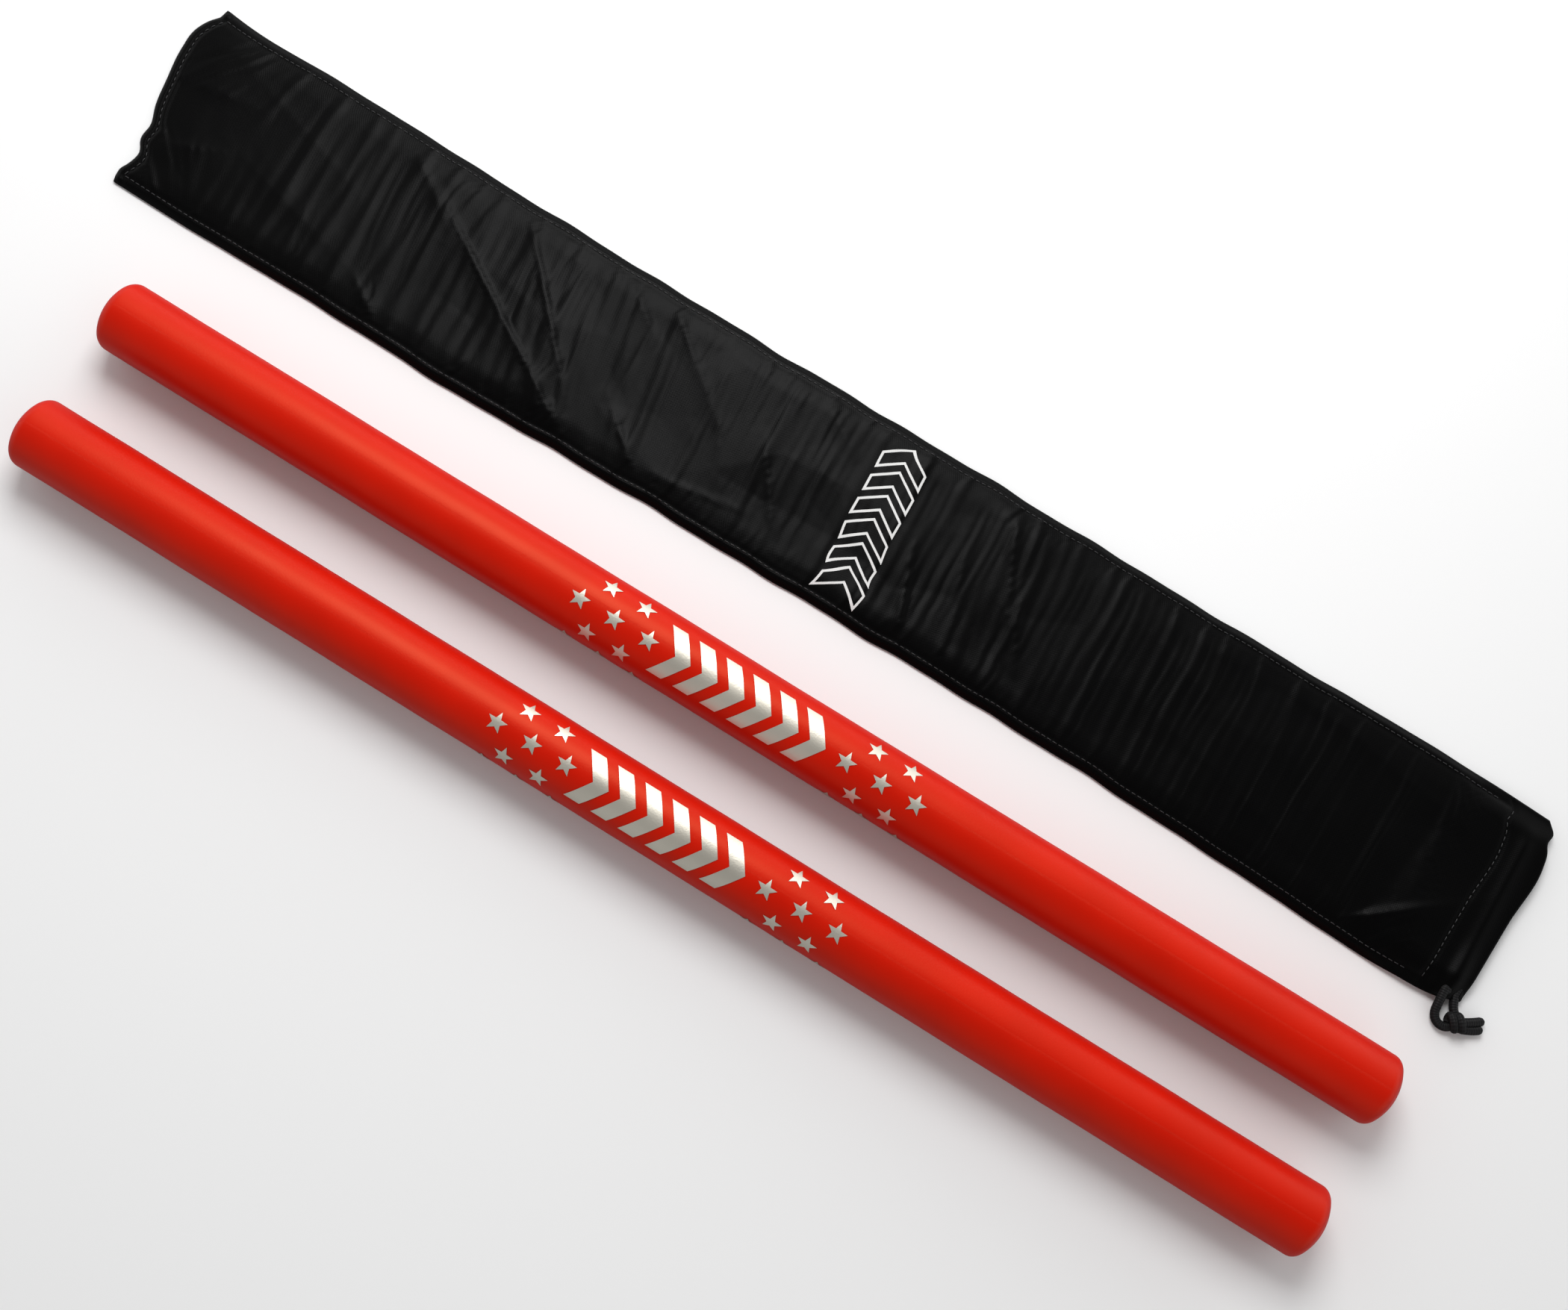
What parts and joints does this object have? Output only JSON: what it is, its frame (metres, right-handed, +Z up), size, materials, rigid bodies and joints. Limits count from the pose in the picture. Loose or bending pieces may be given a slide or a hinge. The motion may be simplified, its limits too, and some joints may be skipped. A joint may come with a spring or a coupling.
{
  "type": "focus training sticks",
  "caption": "Pair of round foam-padded striking sticks with domed ends for focus drills, laid beside their long flat drawstring carry bag.",
  "frame": {"origin": "on the floor under the middle of the box around both sticks and the bag, without the drawstring's free loop, knot and tails", "axes": "+X along the sticks towards the bag's mouth, +Y across from the sticks to the bag, +Z up from the floor"},
  "size_m": [0.7338, 0.2294, 0.0335],
  "materials": {
    "red_skin": "satin",
    "foam": "matte",
    "core_plastic": "satin",
    "plug_plastic": "matte",
    "bag_fabric": "satin",
    "thread": "satin",
    "cord": "matte",
    "silver_foil": "satin",
    "white_print": "matte"
  },
  "bodies": {
    "bag": {"bag_back_panel": "bag_fabric", "bag_front_panel": "bag_fabric", "bag_front_casing": "bag_fabric", "bag_back_casing": "bag_fabric", "bag_near_side_seam": "thread", "bag_far_side_seam": "thread", "bag_bottom_seam": "thread", "bag_front_hem_stitch": "thread", "bag_back_hem_stitch": "thread"},
    "stick_a": {"stick_a_core_tube": "core_plastic", "stick_a_core_plug_left": "plug_plastic", "stick_a_core_plug_right": "plug_plastic", "stick_a_foam_sleeve": "foam", "stick_a_end_pad_left": "foam", "stick_a_end_pad_right": "foam", "stick_a_cover": "red_skin", "stick_a_end_cap_left": "red_skin", "stick_a_end_cap_right": "red_skin"},
    "stick_b": {"stick_b_core_tube": "core_plastic", "stick_b_core_plug_left": "plug_plastic", "stick_b_core_plug_right": "plug_plastic", "stick_b_foam_sleeve": "foam", "stick_b_end_pad_left": "foam", "stick_b_end_pad_right": "foam", "stick_b_cover": "red_skin", "stick_b_end_cap_left": "red_skin", "stick_b_end_cap_right": "red_skin"},
    "drawstring": {"drawstring_casing_run": "cord", "drawstring_loop": "cord", "drawstring_knot": "cord", "drawstring_front_tail": "cord", "drawstring_back_tail": "cord"}
  },
  "joints": [
    {"name": "stick_a_lift", "type": "slide", "parent": "bag", "child": "stick_a", "axis": [0, 0, 1], "range_m": [0, 0.06]},
    {"name": "stick_b_lift", "type": "slide", "parent": "bag", "child": "stick_b", "axis": [0, 0, 1], "range_m": [0, 0.06]},
    {"name": "drawstring_pull", "type": "slide", "parent": "bag", "child": "drawstring", "axis": [0, -1, 0], "range_m": [0, 0.05], "deforming": ["bag_front_casing", "bag_back_casing"]}
  ]
}
